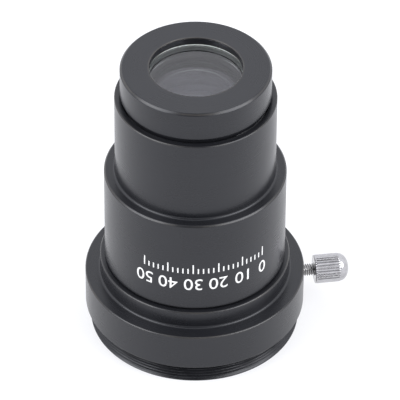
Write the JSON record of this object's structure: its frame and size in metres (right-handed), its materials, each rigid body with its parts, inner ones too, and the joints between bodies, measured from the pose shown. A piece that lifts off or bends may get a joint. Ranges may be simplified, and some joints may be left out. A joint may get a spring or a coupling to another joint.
{
  "type": "barlow lens",
  "caption": "Stepped black tube with a push-fit nose, a screw-in lens cell, an eyepiece socket with a side clamp screw, and a male camera thread.",
  "frame": {"origin": "on the optical axis, in the plane of the seat ledge that rests on a focuser's face when the nose is pushed in", "axes": "+Z along the optical axis from the eyepiece end to the lens end; +X out of the collar along the thumb screw; +Y completes the right-handed frame"},
  "size_m": [0.0534, 0.044, 0.063],
  "materials": {
    "black_anodised": "satin black anodised, fine turned grain",
    "matt_black": "matt blackened",
    "lens_glass": "polished, coated",
    "bright_chrome": "bright plated, straight knurl",
    "screw_steel": "plated thread",
    "nylon": "natural nylon"
  },
  "bodies": {
    "tube": {"nose_and_body_tube": "black_anodised", "lens_cell": "black_anodised", "eyepiece_holder": "black_anodised", "front_lens_element": "lens_glass", "rear_lens_element": "lens_glass", "lens_spacer_ring": "matt_black", "lens_retaining_ring": "matt_black", "glare_stop_ring": "matt_black"},
    "pad": {"clamp_pad": "nylon"},
    "thumb_screw": {"thumb_screw_knob": "bright_chrome", "thumb_screw_stud": "screw_steel"}
  },
  "joints": [
    {"name": "screw_travel", "type": "slide", "parent": "tube", "child": "pad", "axis": [1, 0, 0], "range_m": [-0.0021, 0.003]},
    {"name": "screw_turn", "type": "hinge", "parent": "pad", "child": "thumb_screw", "pos_m": [0.0243, 0, -0.02945], "axis": [1, 0, 0], "range_deg": [-1682, 2402]}
  ],
  "couplings": [
    {"joint": "screw_turn", "follows": "screw_travel", "rad_per_m": 13963}
  ]
}
